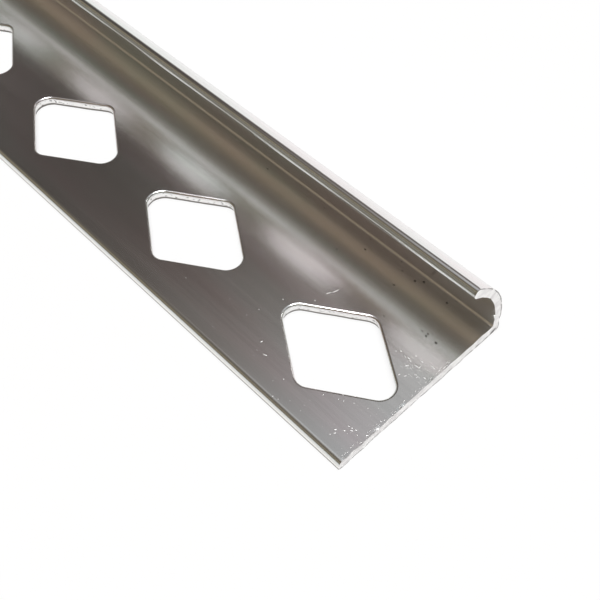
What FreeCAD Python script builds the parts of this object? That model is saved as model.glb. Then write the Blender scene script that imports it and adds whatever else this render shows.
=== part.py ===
import FreeCAD, Part
import math
import os

import Sketcher

# Tile edge trim: one length of extruded aluminium. A flat anchoring leg, punched with a row
# of diamond holes, lies under the tiles; a wall rises from it at one edge and curls over
# the tile's edge as a part of a round. Millimetres, +Z up, X along the length, the wall's
# outer face on +Y, origin in the middle of the underside.

# Driving dimensions, each one set by itself.
DIMENSIONS = {
    "stock_length": (1000.0, "length of the piece as sold"),
    "leg_width": (25.0, "anchoring leg, outer edge to the wall's outer face"),
    "leg_thickness": (1.4, "anchoring leg"),
    "trim_height": (12.0, "underside to the top of the curl"),
    "wall_thickness": (1.1, "wall and curl"),
    "wall_straight": (0.7, "upright stretch of the wall above the leg"),
    "curl_reach": (5.35, "wall's outer face to the middle of the round on the lip's top corner"),
    "lip_radius": (0.25, "both corners of the lip's face"),
    "root_radius": (0.4, "inner corner between leg and wall"),
    "heel_radius": (0.25, "outer corner under the wall"),
    "edge_radius": (0.4, "both corners of the leg's outer edge"),
    "hole_long_diagonal": (19.5, "diamond hole along the length, between its sharp tips"),
    "hole_short_diagonal": (12.8, "diamond hole across the leg, between its sharp tips"),
    "hole_corner_radius": (1.8, "rounding of the diamond's corners"),
    "hole_pitch": (24.5, "from one hole to the next"),
    "hole_row_setback": (15.45, "wall's outer face to the middle of the row of holes"),
    "first_hole_setback": (9.8, "end face to the middle of the first hole"),
}

START = 1
END = 2
CENTRE = 3
ROOT_POINT = (-1, 1)
ALONG_AXIS = -1

doc = FreeCAD.newDocument("tile_trim")


def make_sheet():
    """Put the driving dimensions into a sheet, one row each, with an alias."""
    sheet = doc.addObject("Spreadsheet::Sheet", "Sizes")
    for row, (alias, (value, meaning)) in enumerate(DIMENSIONS.items(), start=1):
        sheet.set(f"A{row}", alias)
        sheet.set(f"B{row}", str(value))
        sheet.set(f"C{row}", meaning)
        sheet.setAlias(f"B{row}", alias)
    doc.recompute()
    return sheet


def origin_feature(body, role):
    """One of the body's own origin planes or axes."""
    return next(item for item in body.Origin.OriginFeatures if item.Role == role)


def attach(sketch, body, role):
    """Lay a sketch on one of the body's origin planes."""
    sketch.AttachmentSupport = (origin_feature(body, role), [""])
    sketch.MapMode = "FlatFace"


def line(start, end):
    """A straight edge between two points of the sketch."""
    return Part.LineSegment(FreeCAD.Vector(*start, 0), FreeCAD.Vector(*end, 0))


def arc(centre, radius, first_angle, last_angle):
    """A round edge, counter-clockwise between two angles in radians."""
    circle = Part.Circle(FreeCAD.Vector(*centre, 0), FreeCAD.Vector(0, 0, 1), radius)
    return Part.ArcOfCircle(circle, first_angle, last_angle)


def bind(sketch, constraint, name, expression):
    """Add one dimension to a sketch and tie it to the sheet."""
    index = sketch.addConstraint(constraint)
    sketch.renameConstraint(index, name)
    sketch.setExpression(f"Constraints.{name}", expression)


def on_circle(centre, radius, angle):
    """The point of a circle at an angle."""
    return (centre[0] + radius * math.cos(angle), centre[1] + radius * math.sin(angle))


def draw_section(sketch, sheet):
    """Draw the profile's outline, sketch X across the trim and sketch Y upwards.

    The curl is a round that starts at the top of the upright stretch and ends at the lip,
    whose face is square to it. Its radius follows from the height and the reach: they place
    the small round on the lip's top corner, and the curl is the one circle that touches
    that round and the wall.
    """
    half = sheet.leg_width / 2
    leg = sheet.leg_thickness
    edge = sheet.edge_radius
    heel = sheet.heel_radius
    root = sheet.root_radius
    lip = sheet.lip_radius
    wall = half - sheet.wall_thickness
    curl_base = leg + sheet.wall_straight
    reach = sheet.curl_reach
    rise = sheet.trim_height - lip - curl_base
    outer = (reach ** 2 + rise ** 2 - lip ** 2) / (2 * (reach - lip))
    inner = outer - sheet.wall_thickness
    curl = (half - outer, curl_base)

    right, up, left, down = 0, math.pi / 2, math.pi, 3 * math.pi / 2
    outer_end = math.atan2(rise, outer - reach)
    face_angle = outer_end + math.asin(lip / (outer - lip))
    inner_end = face_angle - math.asin(lip / (inner + lip))
    face_side = face_angle + up
    top_round = on_circle(curl, outer - lip, outer_end)
    low_round = on_circle(curl, inner + lip, inner_end)

    (underside, heel_arc, wall_outer, curl_outer, lip_top, lip_front, lip_low,
     curl_inner, wall_inner, root_arc, leg_top, edge_high, edge_face, edge_low) = sketch.addGeometry([
        line((edge - half, 0), (half - heel, 0)),
        arc((half - heel, heel), heel, down, 2 * math.pi),
        line((half, heel), (half, curl_base)),
        arc(curl, outer, right, outer_end),
        arc(top_round, lip, outer_end, face_side),
        line(on_circle(top_round, lip, face_side), on_circle(low_round, lip, face_side)),
        arc(low_round, lip, face_side, left + inner_end),
        arc(curl, inner, right, inner_end),
        line((wall, curl_base), (wall, leg + root)),
        arc((wall - root, leg + root), root, down, 2 * math.pi),
        line((wall - root, leg), (edge - half, leg)),
        arc((edge - half, leg - edge), edge, up, left),
        line((-half, leg - edge), (-half, edge)),
        arc((edge - half, edge), edge, left, down),
    ])

    # Each edge runs into the next one; the two hollow rounds are drawn the other way.
    junctions = [
        (underside, END, heel_arc, START),
        (heel_arc, END, wall_outer, START),
        (wall_outer, END, curl_outer, START),
        (curl_outer, END, lip_top, START),
        (lip_top, END, lip_front, START),
        (lip_front, END, lip_low, START),
        (lip_low, END, curl_inner, END),
        (curl_inner, START, wall_inner, START),
        (wall_inner, END, root_arc, END),
        (root_arc, START, leg_top, START),
        (leg_top, END, edge_high, START),
        (edge_high, END, edge_face, START),
        (edge_face, END, edge_low, START),
        (edge_low, END, underside, START),
    ]
    for junction in junctions:
        sketch.addConstraint(Sketcher.Constraint("Tangent", *junction))
    for level in (underside, leg_top):
        sketch.addConstraint(Sketcher.Constraint("Horizontal", level))
    for upright in (wall_outer, wall_inner, edge_face):
        sketch.addConstraint(Sketcher.Constraint("Vertical", upright))
    sketch.addConstraint(Sketcher.Constraint("PointOnObject", underside, START, ALONG_AXIS))
    sketch.addConstraint(Sketcher.Constraint("Coincident", curl_outer, CENTRE, curl_inner, CENTRE))
    sketch.addConstraint(Sketcher.Constraint("PointOnObject", curl_outer, CENTRE, lip_front))

    radii = {
        "heel": (heel_arc, heel, "Sizes.heel_radius"),
        "lip_top": (lip_top, lip, "Sizes.lip_radius"),
        "lip_low": (lip_low, lip, "Sizes.lip_radius"),
        "root": (root_arc, root, "Sizes.root_radius"),
        "edge_high": (edge_high, edge, "Sizes.edge_radius"),
        "edge_low": (edge_low, edge, "Sizes.edge_radius"),
    }
    for name, (round_edge, radius, expression) in radii.items():
        bind(sketch, Sketcher.Constraint("Radius", round_edge, radius), name, expression)

    across = Sketcher.Constraint("DistanceX", *ROOT_POINT, wall_outer, START, half)
    bind(sketch, across, "wall_place", "Sizes.leg_width / 2")
    across = Sketcher.Constraint("DistanceX", edge_face, START, *ROOT_POINT, half)
    bind(sketch, across, "edge_place", "Sizes.leg_width / 2")
    across = Sketcher.Constraint("DistanceX", wall_inner, START, wall_outer, END, sheet.wall_thickness)
    bind(sketch, across, "wall_thick", "Sizes.wall_thickness")
    across = Sketcher.Constraint("DistanceX", lip_top, CENTRE, wall_outer, END, reach)
    bind(sketch, across, "reach", "Sizes.curl_reach")
    upward = Sketcher.Constraint("DistanceY", underside, START, leg_top, END, leg)
    bind(sketch, upward, "leg_thick", "Sizes.leg_thickness")
    upward = Sketcher.Constraint("DistanceY", *ROOT_POINT, wall_outer, END, curl_base)
    bind(sketch, upward, "curl_base", "Sizes.leg_thickness + Sizes.wall_straight")
    upward = Sketcher.Constraint("DistanceY", *ROOT_POINT, lip_top, CENTRE, top_round[1])
    bind(sketch, upward, "height", "Sizes.trim_height - Sizes.lip_radius")
    print("curl radius", round(outer, 3), "mm through", round(math.degrees(face_angle), 1), "degrees")


def draw_diamond(sketch, sheet):
    """Draw the first hole, sketch X along the trim and sketch Y across it.

    The four sides run between the sharp tips of the diamond, which are kept as points, and
    a round at each tip touches both of its sides.
    """
    middle = (sheet.stock_length / 2 - sheet.first_hole_setback,
              sheet.leg_width / 2 - sheet.hole_row_setback)
    reach_x = sheet.hole_long_diagonal / 2
    reach_y = sheet.hole_short_diagonal / 2
    radius = sheet.hole_corner_radius
    side = math.hypot(reach_x, reach_y)
    # The direction square to the side between the +X tip and the +Y tip.
    lean = math.atan2(reach_x, reach_y)
    centre_x = reach_x - radius * side / reach_y
    centre_y = reach_y - radius * side / reach_x

    tips = [(reach_x, 0), (0, reach_y), (-reach_x, 0), (0, -reach_y)]
    centres = [(centre_x, 0), (0, centre_y), (-centre_x, 0), (0, -centre_y)]
    normals = [lean, math.pi - lean, math.pi + lean, 2 * math.pi - lean]

    def place(point):
        return (middle[0] + point[0], middle[1] + point[1])

    rounds = []
    sides = []
    for k in range(4):
        before = normals[k - 1] if k else normals[3] - 2 * math.pi
        rounds.append(arc(place(centres[k]), radius, before, normals[k]))
        start = on_circle(place(centres[k]), radius, normals[k])
        end = on_circle(place(centres[(k + 1) % 4]), radius, normals[k])
        sides.append(line(start, end))
    round_ids = sketch.addGeometry(rounds)
    side_ids = sketch.addGeometry(sides)
    tip_ids = sketch.addGeometry([Part.Point(FreeCAD.Vector(*place(tip), 0)) for tip in tips], True)

    for k in range(4):
        following = (k + 1) % 4
        sketch.addConstraint(Sketcher.Constraint("Tangent", round_ids[k], END, side_ids[k], START))
        sketch.addConstraint(Sketcher.Constraint("Tangent", side_ids[k], END, round_ids[following], START))
        sketch.addConstraint(Sketcher.Constraint("PointOnObject", tip_ids[k], START, side_ids[k]))
        sketch.addConstraint(Sketcher.Constraint("PointOnObject", tip_ids[following], START, side_ids[k]))
        round_size = Sketcher.Constraint("Radius", round_ids[k], radius)
        bind(sketch, round_size, f"corner_{k}", "Sizes.hole_corner_radius")

    along = "Sizes.stock_length / 2 - Sizes.first_hole_setback"
    across = "Sizes.leg_width / 2 - Sizes.hole_row_setback"
    tip_places = [
        (f"{along} + Sizes.hole_long_diagonal / 2", across),
        (along, f"{across} + Sizes.hole_short_diagonal / 2"),
        (f"{along} - Sizes.hole_long_diagonal / 2", across),
        (along, f"{across} - Sizes.hole_short_diagonal / 2"),
    ]
    for k, (x_expression, y_expression) in enumerate(tip_places):
        tip = place(tips[k])
        x_place = Sketcher.Constraint("DistanceX", *ROOT_POINT, tip_ids[k], START, tip[0])
        bind(sketch, x_place, f"tip_{k}_along", x_expression)
        y_place = Sketcher.Constraint("DistanceY", *ROOT_POINT, tip_ids[k], START, tip[1])
        bind(sketch, y_place, f"tip_{k}_across", y_expression)


def make_profile(sheet):
    """The trim: the extruded section with its row of punched holes."""
    body = doc.addObject("PartDesign::Body", "TrimProfile")
    body.Label = "trim_profile"

    section = body.newObject("Sketcher::SketchObject", "Section")
    attach(section, body, "YZ_Plane")
    draw_section(section, sheet)
    extrusion = body.newObject("PartDesign::Pad", "Extrusion")
    extrusion.Profile = section
    extrusion.SideType = "Symmetric"
    extrusion.setExpression("Length", "Sizes.stock_length")
    doc.recompute()
    plain_volume = body.Shape.Volume

    diamond = body.newObject("Sketcher::SketchObject", "Diamond")
    attach(diamond, body, "XY_Plane")
    draw_diamond(diamond, sheet)
    punch = body.newObject("PartDesign::Pocket", "PunchedHole")
    punch.Profile = diamond
    punch.Type = "Length"
    # The underside is the sketch's plane, so the cut goes up from it, just past the leg.
    punch.Reversed = True
    punch.setExpression("Length", "2 * Sizes.leg_thickness")
    doc.recompute()
    one_hole = plain_volume - body.Shape.Volume

    row = body.newObject("PartDesign::LinearPattern", "HoleRow")
    row.Originals = [punch]
    row.Direction = (origin_feature(body, "X_Axis"), [""])
    row.Reversed = True
    # The last hole stays as far from its end as the first one, or farther.
    steps = "floor((Sizes.stock_length - 2 * Sizes.first_hole_setback) / Sizes.hole_pitch)"
    row.setExpression("Length", f"Sizes.hole_pitch * {steps}")
    row.setExpression("Occurrences", f"{steps} + 1")
    body.Tip = row
    body.Placement = FreeCAD.Placement()
    doc.recompute()

    all_holes = plain_volume - body.Shape.Volume
    if one_hole <= 0 or abs(all_holes - row.Occurrences * one_hole) > 0.001 * all_holes:
        raise RuntimeError("the holes were not all cut")
    print("holes", row.Occurrences, "each", round(one_hole, 2), "mm3")
    return body


def check_document(bodies):
    """Stop before anything is written if an object failed or a shape is no good."""
    for item in doc.Objects:
        if "Invalid" in item.State or "Error" in item.State:
            raise RuntimeError(f"{item.Name} failed: {item.State}")
    for body in bodies:
        if body.Shape.isNull() or not body.Shape.isValid() or len(body.Shape.Solids) != 1:
            raise RuntimeError(f"{body.Label} is not one valid solid")


sizes = make_sheet()
pieces = [make_profile(sizes)]
check_document(pieces)

os.makedirs("parts", exist_ok=True)
for piece in pieces:
    piece.Shape.exportStep(f"parts/{piece.Label}.step")
    box = piece.Shape.BoundBox
    print(piece.Label, "volume", round(piece.Shape.Volume, 1), "mm3, box",
          round(box.XLength, 3), round(box.YLength, 3), round(box.ZLength, 3))
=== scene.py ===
# %% [markdown]
# # A tile edge trim, dressed for the camera
# The packed CAD model is loaded as a fixed frame. It is one aluminium extrusion: a flat leg with a
# row of punched holes, an upright wall, and a curl that covers the tile's edge. This lesson gives
# it what a solid model leaves out: the soft rims of the punched holes, the torn metal of the cuts,
# the saw's marks on the ends, the scratches of handling, and a bright metal that mirrors what is
# around it.

# %% Load the frame
import math

import bpy
import numpy as np
from mathutils import Matrix, Vector


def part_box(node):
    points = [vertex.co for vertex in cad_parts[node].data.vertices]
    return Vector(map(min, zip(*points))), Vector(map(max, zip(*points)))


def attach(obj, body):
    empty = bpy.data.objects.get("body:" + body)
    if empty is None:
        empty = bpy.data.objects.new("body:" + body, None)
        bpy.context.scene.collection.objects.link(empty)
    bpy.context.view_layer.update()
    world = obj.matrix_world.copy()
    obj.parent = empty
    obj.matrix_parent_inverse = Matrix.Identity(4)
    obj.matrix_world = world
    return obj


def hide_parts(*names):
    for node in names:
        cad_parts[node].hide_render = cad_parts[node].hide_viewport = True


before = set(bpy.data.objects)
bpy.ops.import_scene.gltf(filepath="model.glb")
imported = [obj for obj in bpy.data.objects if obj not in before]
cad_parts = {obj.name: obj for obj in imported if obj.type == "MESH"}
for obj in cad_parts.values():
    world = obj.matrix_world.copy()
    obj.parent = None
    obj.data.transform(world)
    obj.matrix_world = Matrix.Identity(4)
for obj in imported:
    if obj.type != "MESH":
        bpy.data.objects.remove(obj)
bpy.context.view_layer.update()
MM = 0.001
low, high = (np.array(corner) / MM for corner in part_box("trim_profile"))
print("trim in mm:", low.round(2).tolist(), "to", high.round(2).tolist())

# %% [markdown]
# The camera stands 9 cm up, just beyond the near end, and looks down along the trim. A camera that
# is aimed at a point would be level, and this view is turned a little, so its three directions are
# given instead. They and its place were solved from the trim's own edges in the photograph. The
# lens starts nearer than Blender's usual 10 cm clip.

# %% Camera
RIGHT = Vector((0.68820, 0.72501, -0.02724))
DOWN = Vector((0.56982, -0.56336, -0.59827))
FORWARD = Vector((-0.44910, 0.39621, -0.80083))
EYE = Vector((530.588, -43.693, 87.324)) * MM
LENS, SENSOR = 57.059, 36.0
NEAREST = 0.005

camera = bpy.data.objects.new("camera", bpy.data.cameras.new("camera"))
turn = Matrix((RIGHT, -DOWN, -FORWARD)).transposed().to_4x4()
camera.matrix_world = Matrix.Translation(EYE) @ turn
camera.data.lens = LENS
camera.data.sensor_width = SENSOR
camera.data.clip_start = NEAREST
bpy.context.collection.objects.link(camera)
bpy.context.scene.camera = camera
print("camera at", [round(v / MM, 1) for v in camera.location], "mm")

# %% [markdown]
# Shader maths gets long when every Math node is placed by hand. A small class that wraps one
# socket lets it be written as ordinary expressions: adding or multiplying two of them adds the
# Math node. Every other node comes from one method, which takes the node's type, its settings
# and what goes into its sockets.

# %% A socket that does arithmetic
class Wire:
    """One output socket of a shader tree. Arithmetic on it adds Math nodes to the tree."""

    def __init__(self, tree, socket):
        self.tree = tree
        self.socket = socket

    @staticmethod
    def node(tree, kind, settings=None, inputs=None, output=0):
        """Adds a node: first its settings (or a ramp's stops), then a value or wire for each socket."""
        node = tree.nodes.new(kind)
        for name, value in (settings or {}).items():
            if name == "stops":
                ramp = node.color_ramp
                ramp.elements.remove(ramp.elements[1])
                ramp.elements[0].position = value[0][0]
                ramp.elements[0].color = (*value[0][1], 1.0)
                for place, colour in value[1:]:
                    ramp.elements.new(place).color = (*colour, 1.0)
            else:
                setattr(node, name, value)
        for name, value in (inputs or {}).items():
            if isinstance(value, Wire):
                tree.links.new(value.socket, node.inputs[name])
            else:
                node.inputs[name].default_value = value
        return Wire(tree, node.outputs[output])

    def maths(self, operation, first, second=None):
        inputs = {0: first} if second is None else {0: first, 1: second}
        return Wire.node(self.tree, "ShaderNodeMath", {"operation": operation}, inputs)

    def __add__(self, other):
        return self.maths("ADD", self, other)

    __radd__ = __add__

    def __sub__(self, other):
        return self.maths("SUBTRACT", self, other)

    def __rsub__(self, other):
        return self.maths("SUBTRACT", other, self)

    def __mul__(self, other):
        return self.maths("MULTIPLY", self, other)

    __rmul__ = __mul__

    def __abs__(self):
        return self.maths("ABSOLUTE", self)

    def most(self, other):
        """The larger of two values."""
        return self.maths("MAXIMUM", self, other)

    def part(self, axis):
        """The X, Y or Z of a vector."""
        return Wire.node(self.tree, "ShaderNodeSeparateXYZ", None, {0: self}, axis)

    def along(self, way):
        """How far a vector points along way: their dot product."""
        settings = {"operation": "DOT_PRODUCT"}
        return Wire.node(self.tree, "ShaderNodeVectorMath", settings, {0: self, 1: way}, "Value")

    def ease(self, start, end):
        """0 before start, 1 past end, and a smooth step between."""
        settings = {"interpolation_type": "SMOOTHSTEP", "clamp": True}
        inputs = {"Value": self, "From Min": start, "From Max": end, "To Min": 0.0, "To Max": 1.0}
        return Wire.node(self.tree, "ShaderNodeMapRange", settings, inputs)

    def ramp(self, stops):
        """A colour for each value, from (value, colour) stops."""
        return Wire.node(self.tree, "ShaderNodeValToRGB", {"stops": stops}, {"Fac": self})

    def blend(self, first, second):
        """Colour first where the wire is 0, second where it is 1."""
        tree = self.tree
        mix = tree.nodes.new("ShaderNodeMix")
        mix.data_type = "RGBA"
        tree.links.new(self.socket, mix.inputs[0])
        for place, value in ((6, first), (7, second)):
            if isinstance(value, Wire):
                tree.links.new(value.socket, mix.inputs[place])
            else:
                mix.inputs[place].default_value = (*value, 1.0)
        return Wire(tree, mix.outputs[2])


print("a wire knows:", [name for name in vars(Wire) if not name.startswith("_")])

# %% [markdown]
# Polished metal has no colour of its own to speak of: what we see in it is the room. So the
# surroundings are part of the finish. A photograph of a room could be wrapped around the scene,
# but a few ramps are enough and can be tuned one band at a time. On the camera's side the room is
# brownish with one lighter band. On the far side it goes from a pale horizon up to a dark ceiling.

# %% World: the sides of the room
WHITE = (1.0, 1.0, 1.0)
# How far a direction points to the camera's side, where that side starts to show and where it is
# all that shows.
SIDE_START, SIDE_FULL = -0.15, 0.45

world = bpy.data.worlds.new("studio")
bpy.context.scene.world = world
world.use_nodes = True
room = world.node_tree
room.nodes.clear()
view = Wire.node(room, "ShaderNodeTexCoord", output="Generated")
height = view.part("Z")
camera_side = height.ramp([
    (0.00, (0.215, 0.195, 0.165)),
    (0.05, (0.175, 0.157, 0.130)),
    (0.13, (0.120, 0.103, 0.082)),
    (0.27, (0.215, 0.180, 0.130)),
    (0.42, (0.350, 0.293, 0.210)),
    (0.53, (0.250, 0.215, 0.163)),
    (0.62, (0.130, 0.110, 0.086)),
    (1.00, (0.105, 0.089, 0.072)),
])
far_side = height.ramp([
    (0.00, (0.760, 0.750, 0.740)),
    (0.16, (0.660, 0.650, 0.640)),
    (0.36, (0.345, 0.330, 0.318)),
    (0.55, (0.100, 0.088, 0.080)),
    (0.67, (0.050, 0.040, 0.036)),
    (1.00, (0.065, 0.055, 0.048)),
])
sides = (view.part("Y") * -1.0).ease(SIDE_START, SIDE_FULL).blend(far_side, camera_side)
print("world nodes for the sides:", len(room.nodes))

# %% [markdown]
# Overhead the room has a broad glow that swells towards its middle. The flat leg mirrors it, which
# is why the leg gets lighter towards the cut end. A small soft spot stands high beyond the curl,
# and the leg mirrors it beside the first hole. Lamps could make both, but a ramp sets their soft
# edges step by step. To the camera itself the world is plain white, like the photograph's
# background.

# %% World: the light overhead
GLOW_WAY = (0.10, 0.10, 0.99)
SPOT_WAY = (-0.325, 0.433, 0.841)
SPOT_START, SPOT_FULL, SPOT_STRENGTH = 0.9972, 0.9999, 0.65
SPOT_COLOUR = (1.0, 0.95, 0.97)

middle_near = view.along(GLOW_WAY)
glow = middle_near.ramp([
    (0.600, (0.00, 0.00, 0.00)),
    (0.700, (0.03, 0.03, 0.03)),
    (0.780, (0.15, 0.15, 0.15)),
    (0.836, (0.40, 0.40, 0.40)),
    (0.868, (0.75, 0.75, 0.75)),
    (0.900, (1.00, 1.00, 1.00)),
])
glow_colour = middle_near.ramp([
    (0.70, (0.660, 0.520, 0.450)),
    (0.80, (0.610, 0.510, 0.460)),
    (0.87, (0.505, 0.505, 0.525)),
])
lit = glow.blend(sides, glow_colour)
lit = (view.along(SPOT_WAY).ease(SPOT_START, SPOT_FULL) * SPOT_STRENGTH).blend(lit, SPOT_COLOUR)
seen = Wire.node(room, "ShaderNodeLightPath", output="Is Camera Ray")
sky = Wire.node(room, "ShaderNodeBackground", None, {"Color": seen.blend(lit, WHITE), "Strength": 1.0})
room.links.new(sky.socket, room.nodes.new("ShaderNodeOutputWorld").inputs["Surface"])
bpy.context.scene.view_settings.view_transform = "Standard"
print("world nodes in all:", len(room.nodes))

# %% [markdown]
# One large soft lamp hangs overhead, as a softbox does over a product table. It lights the floor
# evenly and leaves a faint shadow under the leg. A small lamp would give a hard shadow. It stands
# a little beyond the near end, so that the flat leg mirrors the dim room and not the lamp. Its
# power is its radiance times pi times its area, so that its size can change without its
# brightness.

# %% Lamp
LAMP_PLACE, LAMP_TARGET = Vector((0.80, -0.20, 2.20)), Vector((0.45, 0.0, 0.0))
LAMP_LENGTH, LAMP_WIDTH = 1.2, 0.8
LAMP_RADIANCE = 13.0

lamp_data = bpy.data.lights.new("overhead_lamp", "AREA")
lamp_data.shape = "RECTANGLE"
lamp_data.size, lamp_data.size_y = LAMP_LENGTH, LAMP_WIDTH
lamp_data.energy = LAMP_RADIANCE * math.pi * LAMP_LENGTH * LAMP_WIDTH
lamp = bpy.data.objects.new("overhead_lamp", lamp_data)
lamp.location = LAMP_PLACE
lamp.rotation_euler = (LAMP_TARGET - LAMP_PLACE).to_track_quat("-Z", "Y").to_euler()
bpy.context.collection.objects.link(lamp)
print("lamp power", round(lamp_data.energy, 1), "W")

# %% [markdown]
# The floor is a plain white table. Two things look at it: the camera, and the metal, which
# mirrors it. For both, a part of its light is a steady glow, and the rest is the lit surface, so
# the trim still throws its shadow on it. To the camera it is white all over. To the metal its
# colour carries painted shade: a painted shadow darkens it away from the trim on the camera's
# side, and a little painted shade darkens it under the leg, and these are the tones of the bands
# in the curl. It lies just under the trim, so that no two faces share a plane.

# %% Floor
FLOOR_HALF, FLOOR_DROP = 3.0, 0.00003
STEADY_SEEN, STEADY_MIRRORED = 0.85, 0.25
UNDER_LEG_SHARE, UNDER_LEG_SHADE = 0.12, (0.46, 0.46, 0.45)
# Places across the trim, in metres: the ends of the shade, and the two soft edges under the leg.
SHADE_OUT, SHADE_IN = -0.066, -0.004
UNDER_LEG_START, UNDER_LEG_END = (-0.014, -0.010), (0.012, 0.009)


def new_tree(name):
    """An empty material with no nodes."""
    material = bpy.data.materials.new(name)
    material.use_nodes = True
    material.node_tree.nodes.clear()
    return material, material.node_tree


floor_mesh = bpy.data.meshes.new("floor")
corner_signs = ((-1, -1), (1, -1), (1, 1), (-1, 1))
floor_corners = [(x * FLOOR_HALF, y * FLOOR_HALF, -FLOOR_DROP) for x, y in corner_signs]
floor_mesh.from_pydata(floor_corners, [], [(0, 1, 2, 3)])
floor = bpy.data.objects.new("floor", floor_mesh)
bpy.context.collection.objects.link(floor)

floor_material, tree = new_tree("white_table")
camera_ray = Wire.node(tree, "ShaderNodeLightPath", output="Is Camera Ray")
glossy_ray = Wire.node(tree, "ShaderNodeLightPath", output="Is Glossy Ray")
steady = camera_ray * STEADY_SEEN + glossy_ray * STEADY_MIRRORED
sideways = Wire.node(tree, "ShaderNodeTexCoord", output="Object").part("Y")
below = sideways.ease(*UNDER_LEG_START) * sideways.ease(*UNDER_LEG_END)
under_leg = below * (1.0 - camera_ray)
# Painted shade for the metal's mirror: the table darkens away from the trim on the camera's side, as
# under a shadow, and a little under the leg.
shade = sideways.ease(SHADE_OUT, SHADE_IN).most(camera_ray).ramp([
    (0.00, (0.20, 0.18, 0.145)),
    (0.15, (0.26, 0.26, 0.23)),
    (0.38, (0.80, 0.84, 0.82)),
    (0.84, (0.74, 0.75, 0.73)),
    (0.93, (0.94, 0.94, 0.94)),
    (1.00, WHITE),
])
shade = (under_leg * UNDER_LEG_SHARE).blend(shade, UNDER_LEG_SHADE)
lit_surface = Wire.node(tree, "ShaderNodeBsdfDiffuse", None, {"Color": shade})
glowing = Wire.node(tree, "ShaderNodeEmission", None, {"Color": shade, "Strength": 1.0})
surface = Wire.node(tree, "ShaderNodeMixShader", None, {0: steady, 1: lit_surface, 2: glowing})
tree.links.new(surface.socket, tree.nodes.new("ShaderNodeOutputMaterial").inputs["Surface"])
floor_mesh.materials.append(floor_material)
print("floor", 2 * FLOOR_HALF, "m wide, nodes:", len(tree.nodes))

# %% [markdown]
# The section is what the extrusion die leaves: the same all along. It is a strip of metal with an
# underside and an upper side. The curl is a part of a round whose radius follows from the height
# and from how far the lip reaches in. The small rounds differ from the solid's: the leg's upper
# edge is rubbed soft, its lower edge and the corner by the wall are sharper, and the lip is worn
# round and a little thicker.

# %% Sizes of the section, in mm
HALF_LENGTH, HALF_WIDTH, HEIGHT = (round(float(v), 2) for v in high)
LEG, WALL, WALL_STRAIGHT = 1.4, 1.1, 0.7
CURL_REACH, LIP_ROUND = 5.35, 0.25
ROOT_ROUND, HEEL_ROUND, EDGE_TOP, EDGE_LOW = 0.19, 0.25, 0.66, 0.15
WORN_TOP, WORN_LOW = 0.50, 0.56
BEAD, BEAD_START = 0.19, math.radians(38.0)

curl_base = LEG + WALL_STRAIGHT
rise = HEIGHT - LIP_ROUND - curl_base
outer = (CURL_REACH**2 + rise**2 - LIP_ROUND**2) / (2 * (CURL_REACH - LIP_ROUND))
inner = outer - WALL
face_angle = math.atan2(rise, outer - CURL_REACH) + math.asin(LIP_ROUND / (outer - LIP_ROUND))
curl_centre = np.array([HALF_WIDTH - outer, curl_base])
outer_end = face_angle - math.asin(WORN_TOP / (outer - WORN_TOP))
inner_end = face_angle - math.asin(WORN_LOW / (inner - BEAD + WORN_LOW))
print(f"curl radius {outer:.3f} outside, {inner:.3f} inside, to {math.degrees(face_angle):.2f} degrees")

# %% [markdown]
# The section could be drawn as a curve with a bevel, but then Blender would work out the surface
# directions, and a mirror shows the smallest error in them. So each stretch is a row of points
# that keeps its exact direction at every point.

# %% Arcs, straights and the beaded curl
quarter = math.pi / 2


def arc(centre, radius, start, end, steps, hollow=False):
    """Points centre + radius * (cos a, sin a) for angles a from start to end, in radians, with the
    directions (cos a, sin a), turned about for a hollow, where the metal is outside the circle."""
    a = np.linspace(start, end, steps + 1)
    way = np.stack([np.cos(a), np.sin(a)], 1)
    return np.asarray(centre) + radius * way, -way if hollow else way


def straight(first, second, steps, way):
    """Points evenly spaced from first to second, all with the same direction."""
    t = np.linspace(0.0, 1.0, steps + 1)[:, None]
    points = np.asarray(first) * (1 - t) + np.asarray(second) * t
    return points, np.tile(np.asarray(way, float), (steps + 1, 1))


def beaded_curl(steps):
    """The curl's inside. Its radius is constant, then eases in by BEAD towards the lip, which is a
    little thicker. The direction is square to the line, from the radius and its rate of change."""
    a = np.linspace(0.0, inner_end, steps + 1)
    t = np.clip((a - BEAD_START) / (inner_end - BEAD_START), 0, 1)
    radius = inner - BEAD * t * t * (3 - 2 * t)
    rate = -BEAD * 6 * t * (1 - t) / (inner_end - BEAD_START)
    ray = np.stack([np.cos(a), np.sin(a)], 1)
    turn_way = np.stack([-np.sin(a), np.cos(a)], 1)
    way = rate[:, None] * turn_way - radius[:, None] * ray
    return curl_centre + radius[:, None] * ray, way / np.linalg.norm(way, axis=1, keepdims=True)


print("curl inside, first and last point:", beaded_curl(2)[0][[0, -1]].round(3).tolist())

# %% [markdown]
# The section is two rows of points that go side by side from the leg's thin edge, round the
# corner, up the wall and over the curl to the lip. Both have the same stretches with the same
# numbers of steps, so that a saw cut can later join them point by point. The stretch called cell
# is where the holes are. Near the ends the same rows are made finer, for the roughness there.

# %% Rows of the section
ROW_Y, CELL_HALF = -2.95, 8.05
STEPS = {"edge": 6, "rim": 1, "cell": 8, "bed": 3, "corner": 6, "wall": 1, "curl": 26, "lip": 6}
FINER = {"edge": 1, "rim": 4, "cell": 8, "bed": 8, "corner": 1, "wall": 4, "curl": 2, "lip": 2}
FINE_STEPS = {name: steps * FINER[name] for name, steps in STEPS.items()}
FACE_STEPS, FACE_FINER = 3, 3
FACE_LEAN = 0.13

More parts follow.
